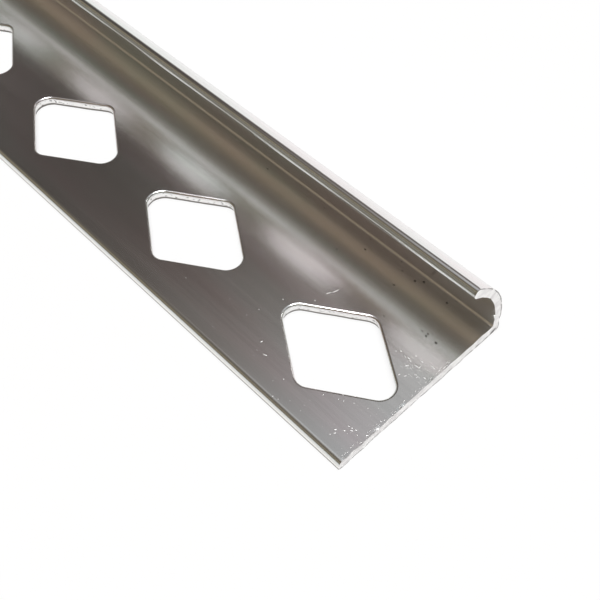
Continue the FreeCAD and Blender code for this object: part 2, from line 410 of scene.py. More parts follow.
cell_low, cell_high = ROW_Y - CELL_HALF, ROW_Y + CELL_HALF
edge_in, edge_low_in = -HALF_WIDTH + EDGE_TOP, -HALF_WIDTH + EDGE_LOW
root_y, root_z = HALF_WIDTH - WALL - ROOT_ROUND, LEG + ROOT_ROUND
heel_y = HALF_WIDTH - HEEL_ROUND
wall_in = HALF_WIDTH - WALL
lip_top = curl_centre + (outer - WORN_TOP) * np.array([math.cos(outer_end), math.sin(outer_end)])
lip_low = curl_centre + (inner - BEAD + WORN_LOW) * np.array([math.cos(inner_end), math.sin(inner_end)])
lip_way = np.array([-math.sin(face_angle + FACE_LEAN), math.cos(face_angle + FACE_LEAN)])


def upper_rows(n):
    """The upper side's rows, from the thin edge to the lip, with n[name] steps in each."""
    return {
        "edge": arc((edge_in, LEG - EDGE_TOP), EDGE_TOP, math.pi, quarter, n["edge"]),
        "rim": straight((edge_in, LEG), (cell_low, LEG), n["rim"], (0, 1)),
        "cell": straight((cell_low, LEG), (cell_high, LEG), n["cell"], (0, 1)),
        "bed": straight((cell_high, LEG), (root_y, LEG), n["bed"], (0, 1)),
        "corner": arc((root_y, root_z), ROOT_ROUND, -quarter, 0.0, n["corner"], hollow=True),
        "wall": straight((wall_in, root_z), (wall_in, curl_base), n["wall"], (-1, 0)),
        "curl": beaded_curl(n["curl"]),
        "lip": arc(lip_low, WORN_LOW, inner_end + math.pi, face_angle + quarter, n["lip"]),
    }


def lower_rows(n):
    """The underside's rows, which have the same names and numbers of steps."""
    return {
        "edge": arc((edge_low_in, EDGE_LOW), EDGE_LOW, math.pi, 3 * quarter, n["edge"]),
        "rim": straight((edge_low_in, 0.0), (cell_low, 0.0), n["rim"], (0, -1)),
        "cell": straight((cell_low, 0.0), (cell_high, 0.0), n["cell"], (0, -1)),
        "bed": straight((cell_high, 0.0), (heel_y, 0.0), n["bed"], (0, -1)),
        "corner": arc((heel_y, HEEL_ROUND), HEEL_ROUND, -quarter, 0.0, n["corner"]),
        "wall": straight((HALF_WIDTH, HEEL_ROUND), (HALF_WIDTH, curl_base), n["wall"], (1, 0)),
        "curl": arc(curl_centre, outer, 0.0, outer_end, n["curl"]),
        "lip": arc(lip_top, WORN_TOP, outer_end, face_angle + quarter, n["lip"]),
    }


upper, lower = upper_rows(STEPS), lower_rows(STEPS)


def face_rows(steps):
    """The strips that join the two sides: the leg's thin face, and the face of the lip."""
    thin = straight(lower["edge"][0][0], upper["edge"][0][0], steps, (-1, 0))
    return thin, straight(lower["lip"][0][-1], upper["lip"][0][-1], steps, lip_way)


thin_face, lip_face = face_rows(FACE_STEPS)
print("section rows:", {name: len(points) for name, (points, _) in upper.items()})

# %% [markdown]
# A shell made of many patches must close without a gap. Each patch is a grid of points with the
# surface direction at each point, and its faces turn to agree with that. Points that two patches
# share fall on the same place, so one pass over the rounded coordinates welds them all. Where a
# fine row meets a coarse one, a strip of fans of triangles joins them, and no gap opens.

# %% Patches
# The groups of faces whose directions are worked out again once they have been roughened.
HOLE_WALLS, CAPS, COLLARS, DOMES = 1, 2, 3, 4
patches = []


def keep(points, ways, faces, **marks):
    """Keeps a patch, with its faces turned so that they look the way that ways does."""
    a, b, c = (points[faces[:, k]] for k in (0, 1, 2))
    turned = np.cross(b - a, c - a)
    if (turned * ways[faces[:, 0]]).sum() < 0:
        faces = faces[:, ::-1]
    patches.append((points, ways, faces, marks))


def grid(points, ways, closed=False, **marks):
    """Keeps the quads between neighbours of a grid of points. closed joins the last column to the
    first. Each mark is a number for the whole patch: masks for the material for the punched and
    sawn cuts, for scratches, for pits and the painted shade on the end's edges, for the satin
    strips and their painted highlight, and for the burr's painted shade; worn is one of the
    groups above."""
    points = np.asarray(points, float)
    ways = np.broadcast_to(np.asarray(ways, float), points.shape)
    rows, columns = points.shape[:2]
    index = np.arange(rows * columns).reshape(rows, columns)
    if closed:
        index = np.concatenate([index, index[:, :1]], 1)
    quads = np.stack([index[:-1, :-1], index[:-1, 1:], index[1:, 1:], index[1:, :-1]], -1)
    keep(points.reshape(-1, 3), ways.reshape(-1, 3), quads.reshape(-1, 4), **marks)


def sweep(row, stations, **marks):
    """The patch that a row of section points leaves as it is carried along X to each station."""
    points, ways = row
    grid_points = np.empty((len(stations), len(points), 3))
    grid_points[..., 0] = stations[:, None]
    grid_points[..., 1:] = points[None]
    grid_ways = np.zeros_like(grid_points)
    grid_ways[..., 1:] = ways[None]
    grid(grid_points, grid_ways, **marks)


def halve(fine, coarse, way):
    """Joins a closed ring of 2n points to one of n points with three triangles for each coarse step."""
    n = len(coarse)
    points = np.concatenate([fine, coarse])
    j = np.arange(n)
    f0, f1, f2 = 2 * j, 2 * j + 1, (2 * j + 2) % (2 * n)
    c0, c1 = 2 * n + j, 2 * n + (j + 1) % n
    faces = np.concatenate([np.stack(t, 1) for t in ((f0, f1, c0), (f1, c1, c0), (f1, f2, c1))])
    keep(points, np.tile(np.asarray(way, float), (3 * n, 1)), faces)


def step_up(coarse, fine, x_coarse, x_fine, **marks):
    """Joins a section row at one station to the same row with more steps at another. For each
    coarse step there is a fan from its first end, a triangle across and a fan from its other end."""
    factor = (len(fine[0]) - 1) // (len(coarse[0]) - 1)
    half = (factor + 1) // 2
    c0 = np.arange(len(coarse[0]) - 1)
    f0 = len(coarse[0]) + factor * c0
    faces = [(c0, f0 + i, f0 + i + 1) for i in range(half)] + [(c0, f0 + half, c0 + 1)]
    faces += [(c0 + 1, f0 + i, f0 + i + 1) for i in range(half, factor)]
    across_x = np.concatenate([np.full(len(coarse[0]), x_coarse), np.full(len(fine[0]), x_fine)])
    points = np.column_stack([across_x, np.concatenate([coarse[0], fine[0]])])
    ways = np.column_stack([np.zeros(len(points)), np.concatenate([coarse[1], fine[1]])])
    keep(points, ways, np.concatenate([np.stack(f, 1) for f in faces]), **marks)


print("patch makers:", [maker.__name__ for maker in (keep, grid, sweep, halve, step_up)])

# %% [markdown]
# The leg is punched all along with diamond holes, 24.5 mm apart. One could cut them with a
# Boolean and bevel them, but the rim would be uneven. Here the rounded diamond is worked out
# once, and all that is around it are rings at growing distances from it.

# %% The rounded diamond
DIAMOND = (9.75, 6.4)
LONG_ROUND, SHORT_ROUND = 2.0, 1.8
PITCH, FIRST_SETBACK = 24.5, 9.8
BORDER_POINTS = 32

hole_count = int((2 * HALF_LENGTH - 2 * FIRST_SETBACK) / PITCH) + 1
hole_x = HALF_LENGTH - FIRST_SETBACK - PITCH * np.arange(hole_count)
hole_middles = np.column_stack([hole_x, np.full(hole_count, ROW_Y)])


def diamond(long_steps, side_steps, short_steps):
    """One turn round the diamond from its +X tip, with the direction away from the hole. A quarter
    is half the round at the long tip, a straight side, and half the round at the short tip. It is
    mirrored for the second quarter, and both are turned about for the other half."""
    reach_x, reach_y = DIAMOND
    side_length = math.hypot(reach_x, reach_y)
    centre_x = reach_x - LONG_ROUND * side_length / reach_y
    centre_y = reach_y - SHORT_ROUND * side_length / reach_x
    lean = math.atan2(reach_x, reach_y)
    first, first_way = arc((centre_x, 0), LONG_ROUND, 0, lean, long_steps)
    last, last_way = arc((0, centre_y), SHORT_ROUND, lean, quarter, short_steps)
    middle, middle_way = straight(first[-1], last[0], side_steps, first_way[-1])
    points = np.concatenate([first[:-1], middle[:-1], last])
    ways = np.concatenate([first_way[:-1], middle_way[:-1], last_way])
    half_points = np.concatenate([points[:-1], points[:0:-1] * (-1, 1)])
    half_ways = np.concatenate([ways[:-1], ways[:0:-1] * (-1, 1)])
    return np.concatenate([half_points, -half_points]), np.concatenate([half_ways, -half_ways])


def rectangle(left, right):
    """The cell's border as 32 points from the middle of its +X side, which match the diamond's
    quarters. left and right are the cell's reach from the hole's middle."""
    s = np.linspace(0, 1, 5)[:-1]
    back, one = 1 - s, np.ones(4)
    above_x = [right * one, right * back, -left * s, -left * one]
    below_x = [-left * one, -left * back, right * s, right * one]
    y = [s, one, one, back, -s, -one, -one, -back]
    return np.stack([np.concatenate(above_x + below_x), CELL_HALF * np.concatenate(y)], 1)


fine_outline = diamond(12, 10, 10)
plain_outline = diamond(6, 5, 5)
print("holes:", hole_count, " outline points:", len(fine_outline[0]), "and", len(plain_outline[0]))

# %% [markdown]
# A punch drags the upper surface down with it before it cuts, so each hole has a soft rim on top,
# then a shiny sheared band, then a torn one that leans outwards. The punch also leaves the hole a
# little tighter than the clean cut of the solid. Around the hole the rings get coarser by halves
# and end on the straight border of a cell, where the next cell joins on. The five nearest holes
# are finer than the others.

# %% Rims, walls and flats of the holes
RIM_WIDE, RIM_DEEP = 0.32, 0.30
TIGHT = 0.20
TEAR_Z, TEAR_LEAN = 0.90, 0.21
RING_STEP, PULL = 0.45, 0.1
COLLAR_X, SAWN_X = HALF_LENGTH - 0.70, HALF_LENGTH - 0.06
NEAR_HOLES = 5
UP, DOWNWARD = np.array([0.0, 0.0, 1.0]), np.array([0.0, 0.0, -1.0])


def lift(plan, z):
    """Plan points with a height, as 3-D points."""
    return np.concatenate([plan, np.full((*plan.shape[:-1], 1), z)], -1)


def punch(x, left, right, outline, rim_steps, tear_steps):
    """The patches of one cell of the leg, from its upper border in over the rim, down the wall, and
    out under the leg to the lower border. The rim is a quarter of an ellipse, RIM_WIDE by RIM_DEEP,
    and below TEAR_Z the wall leans out evenly, by TEAR_LEAN at the underside."""
    plan, away = outline
    plan = plan - TIGHT * away + (x, ROW_Y)
    border = rectangle(left, right) + (x, ROW_Y)
    away3 = lift(away, 0.0)
    swing = np.linspace(0, quarter, rim_steps + 1)
    reach, drop = RIM_WIDE * (1 - np.sin(swing)), RIM_DEEP * (1 - np.cos(swing))
    rim = np.stack([lift(plan + r * away, LEG - d) for r, d in zip(reach, drop)])
    slope = np.stack([-RIM_DEEP * np.sin(swing), RIM_WIDE * np.cos(swing)], 1)
    slope /= np.linalg.norm(slope, axis=1, keepdims=True)
    grid(rim, slope[:, None, :1] * away3[None] + slope[:, None, 1:] * UP, closed=True)

    sheared = np.linspace(LEG - RIM_DEEP, TEAR_Z, tear_steps + 1)
    levels = np.concatenate([sheared, np.linspace(TEAR_Z, 0.0, tear_steps + 1)[1:]])
    lean = TEAR_LEAN * np.maximum(0.0, TEAR_Z - levels) / TEAR_Z
    wall = np.stack([lift(plan + r * away, z) for r, z in zip(lean, levels)])
    grid(wall, -away3, closed=True, punched=1.0, worn=HOLE_WALLS)

    for z, start, way in ((LEG, RIM_WIDE, UP), (0.0, TEAR_LEAN, DOWNWARD)):
        ring = lift(plan + start * away, z)
        next_ring = lift(plan + (start + RING_STEP) * away, z)
        grid(np.stack([ring, next_ring]), way, closed=True)
        while len(next_ring) > BORDER_POINTS:
            toward = np.repeat(lift(border, z), len(next_ring) // (2 * BORDER_POINTS), axis=0)
            coarse = next_ring[::2] * (1 - PULL) + toward * PULL
            halve(next_ring, coarse, way)
            next_ring = coarse
        t = np.linspace(0, 1, 3)[:, None, None]
        grid(next_ring[None] * (1 - t) + lift(border, z)[None] * t, way, closed=True)


cells = []
s = np.linspace(0, 1, 5)[:-1]
for number, x in enumerate(hole_x):
    left = PITCH / 2 if number < hole_count - 1 else x + COLLAR_X
    right = PITCH / 2 if number else COLLAR_X - x
    if number < NEAR_HOLES:
        punch(x, left, right, fine_outline, rim_steps=8, tear_steps=4)
    else:
        punch(x, left, right, plain_outline, rim_steps=5, tear_steps=1)
    cells.append(np.concatenate([x - left * (1 - s), x + right * s]))
stations = np.unique(np.round(np.concatenate(cells + [[COLLAR_X]]), 6))
print("stations along the trim:", len(stations))

# %% [markdown]
# Everything beside the holes is the section carried along X, which is how the real thing was
# made. The corner by the wall and the leg's thin face mirror less clearly than the rest, because
# the die leaves them less smooth, so their strips carry a satin mark. The same mark makes their
# colour paler, which is a painted highlight.

# %% The long strips
THIN_SATIN_AND_SHEEN = 0.6


def satin_and_sheen_of(row):
    """How much of the die's dull mark and of the painted highlight a row's strip has: the corner by the
    wall fully, the thin face in part.
    """
    if row is upper["corner"]:
        return 1.0
    return THIN_SATIN_AND_SHEEN if row is thin_face else 0.0


side_strips = [row for rows in (upper, lower) for name, row in rows.items() if name != "cell"]
for row in (*side_strips, thin_face, lip_face):
    sweep(row, stations, satin=satin_and_sheen_of(row))
print("patches so far:", len(patches))

# %% [markdown]
# A saw leaves the last bit of metal slightly torn, with a burr that a clean solid doesn't have.
# So the strips stop just short of the ends. A narrow collar of finer rows takes over, calm at
# first and then fine enough to be chipped, and a cap closes the end. The cap joins the underside's
# row to the upper side's row point by point, and its outermost rows carry the burr's painted shade.

# %% Collars and caps
# How strongly the cap's lowest and highest rows carry the burr's painted shade, and where across the
# trim, in mm, the upper one ends.
LOWER_BURR_SHADE, UPPER_BURR_SHADE, UPPER_BURR_SHADE_END = 1.0, 0.9, -4.5
CALM_SETBACKS, WORN_SETBACKS = np.array([0.56, 0.38]), np.array([0.26, 0.17, 0.10])

calm_collar = HALF_LENGTH - CALM_SETBACKS
worn_collar = np.array([calm_collar[1], *(HALF_LENGTH - WORN_SETBACKS), SAWN_X])
upper_fine, lower_fine = upper_rows(FINE_STEPS), lower_rows(FINE_STEPS)
thin_fine, lip_fine = face_rows(FACE_STEPS * FACE_FINER)
coarse_loop = [*upper.values(), *lower.values(), thin_face, lip_face]
fine_loop = [*upper_fine.values(), *lower_fine.values(), thin_fine, lip_fine]


def joined(rows):
    """One line of points through a side's rows, with each shared point once."""
    return np.concatenate([points[:-1] for points, _ in rows.values()] + [rows["lip"][0][-1:]])


under, over = joined(lower_fine), joined(upper_fine)
t = np.linspace(0, 1, FACE_STEPS * FACE_FINER + 1)[:, None, None]
cap = under[None] * (1 - t) + over[None] * t
burr_shaded_columns = int((over[:, 0] < UPPER_BURR_SHADE_END).sum())
cap_parts = (
    (cap[:2], LOWER_BURR_SHADE),
    (cap[1:-1], 0.0),
    (cap[-2:, : burr_shaded_columns + 1], UPPER_BURR_SHADE),
    (cap[-2:, burr_shaded_columns:], 0.0),
)
for end in (1, -1):
    for coarse_row, fine_row in zip(coarse_loop, fine_loop):
        satin = satin_and_sheen_of(coarse_row)
        step_up(coarse_row, fine_row, end * COLLAR_X, end * calm_collar[0], satin=satin)
        sweep(fine_row, np.sort(end * calm_collar), satin=satin)
        sweep(fine_row, np.sort(end * worn_collar), worn=COLLARS, satin=satin)
    for section, burred in cap_parts:
        face = np.concatenate([np.full((*section.shape[:-1], 1), end * SAWN_X), section], -1)
        grid(face, (end, 0.0, 0.0), sawn=1.0, burred=burred, worn=CAPS)
print("patches in all:", len(patches), " cap points:", cap.shape[:2])

# %% [markdown]
# A trim that has been handled has small scratches, dents and dark pits, most of them near the cut
# end. A scratch raises a tiny burr that catches the light. The material could draw them, but each
# mark would take several nodes, so they are flat closed domes of 32 triangles each that stand on
# the leg. The pits are the same domes in a dark finish. Dark domes along the near end's lower and
# outer edges are painted shade.

# %% Places of the marks
# Scratches are x, y and half length in mm and the turn in degrees. Dents and pits are x, y and
# radius.
SCRATCHES = [
    (494.62, -7.22, 0.09, -48), (495.10, -6.95, 0.12, -44), (493.10, -7.98, 0.08, -45),
    (483.98, 1.82, 0.27, 64), (484.34, 2.56, 0.35, 74), (483.57, -8.06, 0.15, 70),
    (485.11, -8.98, 0.25, 20), (495.86, 1.64, 0.22, -17), (496.25, 1.76, 0.20, 6),
    (496.64, 1.61, 0.14, 20), (496.79, 0.94, 0.23, 61), (497.56, 1.60, 0.34, 4),
    (497.89, 1.79, 0.17, 93), (496.98, -0.48, 0.15, 70), (497.54, -0.15, 0.14, 55),
    (498.20, 0.74, 0.17, 19), (498.52, 0.64, 0.19, 88), (499.16, 1.09, 0.20, 3),
    (498.88, 2.74, 0.30, -3), (497.66, -9.42, 0.14, 21), (498.18, -8.90, 0.17, 21),
    (498.45, -8.52, 0.12, 28), (496.95, -9.98, 0.17, 65), (497.60, -8.73, 0.12, 13),
    (498.91, -8.85, 0.12, -17), (497.18, -10.29, 0.12, 59), (497.30, 0.98, 0.17, -19),
    (497.53, 2.42, 0.20, 6), (495.07, 1.85, 0.12, 14),
]
DENTS = [
    (480.99, -2.49, 0.07), (480.12, -5.36, 0.07), (488.78, -9.64, 0.08), (489.53, -11.86, 0.08),
    (490.17, -11.73, 0.07), (483.65, -0.04, 0.07), (494.70, 1.46, 0.08), (496.64, 2.52, 0.08),
    (496.93, -10.75, 0.08), (498.01, -8.65, 0.10), (494.59, -6.53, 0.06), (496.08, -6.40, 0.06),
    (497.51, -5.79, 0.06), (498.24, -5.05, 0.06),
]
PITS = [
    (490.48, 10.63, 0.10), (489.67, 10.01, 0.09), (494.29, 10.24, 0.08), (497.02, 5.32, 0.11),
    (495.62, 5.59, 0.08), (488.38, 7.89, 0.08), (490.58, 3.93, 0.07), (495.65, 5.23, 0.09),
    (494.89, 5.42, 0.07), (464.56, 10.11, 0.07), (480.04, 7.01, 0.07), (482.41, 9.35, 0.08),
    (486.70, 11.00, 0.06), (487.64, 10.08, 0.06), (474.37, 10.56, 0.06), (481.78, 10.94, 0.05),
    (481.17, 5.47, 0.05), (494.79, 11.20, 0.06),
]
# On the near end's face, dark domes of painted shade along its lower and outer edges: y and z, half
# length, half width and turn.
END_EDGE_SHADES = [
    (11.56, 0.34, 0.60, 0.25, 22), (10.40, 0.14, 0.42, 0.09, 8), (9.00, 0.12, 0.36, 0.07, 4),
    (8.00, 0.12, 0.26, 0.06, -3), (12.36, 2.20, 0.20, 0.08, 88), (12.26, 3.70, 0.17, 0.08, 76),
    (12.05, 4.80, 0.16, 0.07, 72), (11.60, 6.30, 0.14, 0.07, 66),
]
END_GLINTS = [(11.60, 0.37, 0.42, 0.15, 24), (10.45, 0.17, 0.26, 0.05, 8)]
print("marks:", len(SCRATCHES), "scratches,", len(DENTS), "dents,", len(PITS), "pits")

# %% [markdown]
# Besides these there are marks too small to place one by one: specks of grit on the near end of
# the leg, fine rubbed lines beside the first hole, and bright chips along the sawn edge. A
# seeded random generator scatters them, thickest near the end, so each run gives the same ones.

# %% Scattered marks
SPECKS, RUBBED, TORN = 70, 26, 60
SPECK_WIDTH, RUB_WIDTH = 0.025, 0.017
# A speck is left out inside each hole's sharp diamond, made larger by this factor.
HOLE_MARGIN = 1.15
mark_rng = np.random.default_rng(11)


def drawn(count, start, spread, power=1.0):
    """Random values start + spread * u ** power, with u from 0 to 1."""
    return start + spread * mark_rng.random(count) ** power


# Each mark is x, y, half length and half width in mm, and the turn in degrees.
specks = np.stack([
    drawn(SPECKS, HALF_LENGTH - 0.4, -32.0, 2.0),
    drawn(SPECKS, -11.6, 15.0),
    drawn(SPECKS, 0.03, 0.07),
    np.full(SPECKS, SPECK_WIDTH),
    drawn(SPECKS, 0.0, 180.0),
], 1)
rubbed = np.stack([
    drawn(RUBBED, HALF_LENGTH - 0.6, -3.2, 1.3),
    drawn(RUBBED, 0.2, 3.2),
    drawn(RUBBED, 0.12, 0.28),
    np.full(RUBBED, RUB_WIDTH),
    drawn(RUBBED, -8.0, 16.0),
], 1)
torn_edge = np.stack([
    drawn(TORN, HALF_LENGTH - 0.14, -0.42, 1.6),
    drawn(TORN, -11.9, 16.5),
    drawn(TORN, 0.06, 0.16),
    drawn(TORN, 0.03, 0.04),
    drawn(TORN, 65.0, 50.0),
], 1)
from_holes = np.abs(specks[:, None, :2] - hole_middles) / DIAMOND
specks = specks[(from_holes.sum(2) >= HOLE_MARGIN).all(1)]
print("scattered:", len(specks), "specks,", len(rubbed), "rubbed lines,", len(torn_edge), "chips")

# %% [markdown]
# Every mark has the same form, and only its ellipse and height differ. Its rim is sunk a few
# micrometres into the leg, so that it has no gap below, and it is closed underneath, so that the
# whole skin stays a closed one.

# %% Domes
DOME_POINTS = 8
RING_SUNK, POLE_SUNK = 0.006, 0.010
TOP_SIZE, POLE_RISE = 0.55, 1.2
SCRATCH_LONG, SCRATCH_WIDTH, DENT_LONG = 1.5, 0.075, 1.3
PIT_LONG, PIT_WIDE, END_EDGE_SHADE_DARK = 2.4, 1.8, 0.8
CHIP_HIGH, SCRATCH_HIGH, DENT_HIGH, SPECK_HIGH, RUB_HIGH = 0.014, 0.012, 0.010, 0.006, 0.005
PIT_HIGH, END_EDGE_SHADE_HIGH, END_GLINT_HIGH = 0.003, 0.030, 0.048


def domes(ellipses, height, on_end=False, **marks):
    """A flat closed dome for each ellipse (x, y, half length, half width, turn): a ring of eight
    points just under the leg's upper side, a smaller one at height, and a pole above and below.
    With on_end the ellipses are (y, z, ...) on the near end's face instead."""
    n = DOME_POINTS
    x, y, reach, width, turn = np.array(ellipses, float).T[:, :, None]
    a = np.arange(n) * 4 * quarter / n
    u, v = reach * np.cos(a), width * np.sin(a)
    turn = np.radians(turn)
    out = np.stack([u * np.cos(turn) - v * np.sin(turn), u * np.sin(turn) + v * np.cos(turn)], -1)
    centre = np.concatenate([x, y], -1)[:, None]
    rings = [lift(centre + out, LEG - RING_SUNK), lift(centre + TOP_SIZE * out, LEG + height)]
    poles = [lift(centre, LEG + POLE_RISE * height), lift(centre, LEG - POLE_SUNK)]
    points = np.concatenate(rings + poles, 1)
    if on_end:
        points = points[..., [2, 0, 1]] + (SAWN_X - LEG, 0, 0)
    up, down = ((1, 0, 0), (-1, 0, 0)) if on_end else (UP, DOWNWARD)
    j = np.arange(n)
    k = (j + 1) % n
    sides = np.stack([j, k, n + k, n + j], 1)
    tops = np.stack([n + j, n + k, np.full(n, 2 * n)], 1)
    bottoms = np.stack([k, j, np.full(n, 2 * n + 1)], 1)
    flat = points.reshape(-1, 3)
    step = points.shape[1] * np.arange(len(ellipses))[:, None, None]
    for faces, way in ((sides, up), (tops, up), (bottoms, down)):
        faces = (faces + step).reshape(-1, faces.shape[1])
        keep(flat, np.tile(np.asarray(way, float), (len(flat), 1)), faces, worn=DOMES, **marks)


scratches = [(x, y, SCRATCH_LONG * reach, SCRATCH_WIDTH, turn) for x, y, reach, turn in SCRATCHES]
domes(torn_edge, CHIP_HIGH, scratched=1)
domes(scratches, SCRATCH_HIGH, scratched=1)
domes([(x, y, DENT_LONG * r, r, 0) for x, y, r in DENTS], DENT_HIGH, scratched=1)
domes(specks, SPECK_HIGH, scratched=1)
domes(rubbed, RUB_HIGH, scratched=1)
domes([(x, y, PIT_LONG * r, PIT_WIDE * r, 0) for x, y, r in PITS], PIT_HIGH, pitted=1)
# Dark domes of painted shade along the near end's lower and outer edges.
domes(END_EDGE_SHADES, END_EDGE_SHADE_HIGH, on_end=True, pitted=END_EDGE_SHADE_DARK)
domes(END_GLINTS, END_GLINT_HIGH, on_end=True, scratched=1)
print("patches with the domes:", len(patches))

# %% [markdown]
# Now the patches are welded: corners whose rounded coordinates are the same become one vertex.
# Merge by Distance would do it too, but it would lose each corner's own direction and marks. The
# edges are counted as a check: in a closed shell each edge is used once in each direction.

# %% Weld
# Rounding to a fifth of a micrometre, shifted so that no coordinate lies on a rounding border.
WELD_CELLS, WELD_SHIFT = 5000.0, 0.137
MARKS = ("punched", "sawn", "scratched", "pitted", "satin", "burred", "worn")

starts = np.cumsum([0] + [len(points) for points, _, _, _ in patches])
all_points = np.concatenate([points for points, _, _, _ in patches])
all_ways = np.concatenate([ways for _, ways, _, _ in patches])
keys = np.round(all_points * WELD_CELLS + WELD_SHIFT).astype(np.int64)
_, first_use, shared = np.unique(keys, axis=0, return_index=True, return_inverse=True)
shared = shared.reshape(-1)
places = all_points[first_use]

corner_lists, face_sizes, corner_ways, corner_marks = [], [], [], []
for (_, _, faces, marks), start in zip(patches, starts):
    corners_here = faces + start
    welded = shared[corners_here]
    if faces.shape[1] == 4:
        corners_here = corners_here[(welded != np.roll(welded, 1, 1)).all(1)]
    corner_lists.append(shared[corners_here].reshape(-1))
    face_sizes.append(np.full(len(corners_here), faces.shape[1]))
    corner_ways.append(all_ways[corners_here.reshape(-1)])
    corner_marks.append(np.tile([float(marks.get(name, 0)) for name in MARKS], (corners_here.size, 1)))
corner_vertex = np.concatenate(corner_lists)
sizes = np.concatenate(face_sizes)
ways = np.concatenate(corner_ways)
corner_marks = np.concatenate(corner_marks)
punched_mark, sawn_mark, worn_mark = corner_marks[:, [0, 1, -1]].T

loop_start = np.concatenate([[0], np.cumsum(sizes)[:-1]])
next_corner = np.arange(len(corner_vertex)) + 1
next_corner[loop_start + sizes - 1] = loop_start
heads, tails = corner_vertex.astype(np.int64), corner_vertex[next_corner].astype(np.int64)
one_way, other_way = heads * len(places) + tails, tails * len(places) + heads
loose = (~np.isin(one_way, other_way)).sum() + len(one_way) - len(np.unique(one_way))
print("vertices", len(places), "triangles", int((sizes - 2).sum()), "open edges", int(loose))

# %% [markdown]
# Cut metal isn't smooth. The walls of the holes and the sawn ends get a small relief from a sum
# of waves in seeded random directions. A Displace modifier with a texture would move the whole
# shell, and here all that is away from the cuts stays exactly on the section.

# %% Waves
rng = np.random.default_rng(7)
LENGTH_RANGE, WAVE_GAIN = 8.0, 2.2


def waves(points, finest, count=24):
    """A smooth random relief between about -1 and 1: a sum of sine waves of random direction and
    phase, with lengths from finest up to LENGTH_RANGE times finest, the long ones strongest."""
    lengths = finest * LENGTH_RANGE ** rng.random(count)
    turns = rng.normal(size=(count, 3))
    turns /= np.linalg.norm(turns, axis=1, keepdims=True)
    phases = rng.random(count) * 2 * math.pi
    strength = lengths / lengths.sum()
    swing = np.sin(points @ (turns / lengths[:, None]).T * 2 * math.pi + phases)
    return (swing * strength).sum(1) * WAVE_GAIN


print("waves are up to", LENGTH_RANGE, "times as long as the finest")

# %% [markdown]
# The punch shears the upper part of a hole's wall and tears the lower part, so the relief grows
# below the sheared band. The points are squeezed to a quarter along Z before the waves are worked
# out, which draws the waves out into upright streaks, the way the punch went.

# %% Relief of the hole walls
SHEARED_RELIEF, TORN_RELIEF = 0.012, 0.03
TEAR_SOFT = 0.15
STREAK_SQUEEZE, STREAK_FINEST = (1, 1, 0.25), 0.5

is_punched = np.zeros(len(places), bool)
is_punched[corner_vertex[punched_mark > 0]] = True
below_rim = is_punched * (places[:, 2] < LEG - RIM_DEEP - 1e-6)
nearest = np.abs(places[:, :1] - hole_x[None]).argmin(1)
outward = places - np.column_stack([hole_middles[nearest], places[:, 2]])
outward /= np.maximum(np.linalg.norm(outward, axis=1, keepdims=True), 1e-9)
torn = np.clip((TEAR_Z + TEAR_SOFT - places[:, 2]) / (2 * TEAR_SOFT), 0, 1)
streaks = waves(places * STREAK_SQUEEZE, STREAK_FINEST)
relief = below_rim * (SHEARED_RELIEF + TORN_RELIEF * torn) * streaks
places = places + outward * relief[:, None]
print("relief on", int((relief != 0).sum()), "wall points, up to", round(np.abs(relief).max(), 3), "mm")

# %% [markdown]
# The saw chips the edges of the end, more the nearer they are to it, and leaves shallow bites in
# the face. The chips go straight into the metal, against the skin's own direction, and only where
# the waves rise above a level, so that whole stretches of the edge stay clean.

# %% Chips and bites of the ends
CHIP_DEEP, CHIP_LEVEL, CHIP_SET_IN = 0.30, 0.30, 0.3
CHIP_FINEST, CHIP_WAVES, CHIP_GROWTH = 0.28, 40, 1.4
BITE_DEEP, BITE_SQUEEZE, BITE_FINEST, BITE_WAVES = 0.045, (0.15, 1, 1), 0.35, 32
END_CATCH, END_LIMIT = SAWN_X - 0.02, HALF_LENGTH - 0.01

skin_way = np.zeros_like(places)
not_cut = (sawn_mark == 0) & (punched_mark == 0) & (worn_mark != DOMES)
np.add.at(skin_way, corner_vertex[not_cut], ways[not_cut])
skin_way /= np.maximum(np.linalg.norm(skin_way, axis=1, keepdims=True), 1e-9)
end_side = np.sign(places[:, 0])
at_end = np.abs(places[:, 0]) > END_CATCH
past_calm = (np.abs(places[:, 0]) - calm_collar[1]) / (SAWN_X - calm_collar[1])
near_end = np.clip(past_calm, 0, 1) ** CHIP_GROWTH
chip_waves = waves(places, CHIP_FINEST, CHIP_WAVES)
chips = np.clip(chip_waves - CHIP_LEVEL, 0, 1) * near_end * CHIP_DEEP
bite_waves = waves(places * BITE_SQUEEZE, BITE_FINEST, BITE_WAVES)
bites = np.clip(bite_waves, -1, 1) * BITE_DEEP
places = places - skin_way * chips[:, None]
places[:, 0] += end_side * at_end * (bites - CHIP_SET_IN * chips)
places[:, 0] = np.clip(places[:, 0], -END_LIMIT, END_LIMIT)
print("end points:", int(at_end.sum()), " deepest chip", round(chips.max(), 3), "mm")

# %% [markdown]
# The roughened faces need new surface directions. A face's direction is the cross product of its
# diagonals, or of two sides of a triangle, and a corner takes the sum over the faces of its own
# group around its vertex. So a cut stays a sharp edge against the skin, which keeps its exact
# directions from the section.

# %% Directions of the worn faces
v0, v1 = places[corner_vertex[loop_start]], places[corner_vertex[loop_start + 1]]
v2, v3 = places[corner_vertex[loop_start + 2]], places[corner_vertex[loop_start + sizes - 1]]
face_way = np.where(sizes[:, None] == 3, np.cross(v1 - v0, v2 - v0), np.cross(v2 - v0, v3 - v1))
spread = np.repeat(face_way, sizes, axis=0)
for group in (HOLE_WALLS, CAPS, COLLARS, DOMES):
    chosen = worn_mark == group
    summed = np.zeros_like(places)
    np.add.at(summed, corner_vertex[chosen], spread[chosen])
    summed /= np.maximum(np.linalg.norm(summed, axis=1, keepdims=True), 1e-12)
    ways[chosen] = summed[corner_vertex[chosen]]
print("corners with new directions:", int((worn_mark > 0).sum()), "of", len(worn_mark))

# %% [markdown]
# The mesh is filled from whole arrays, which takes a moment where a loop over the faces would
# take minutes. The marks go in as numbers at the corners, for the material to read, and the
# directions as custom normals, so that Blender works out none of its own.

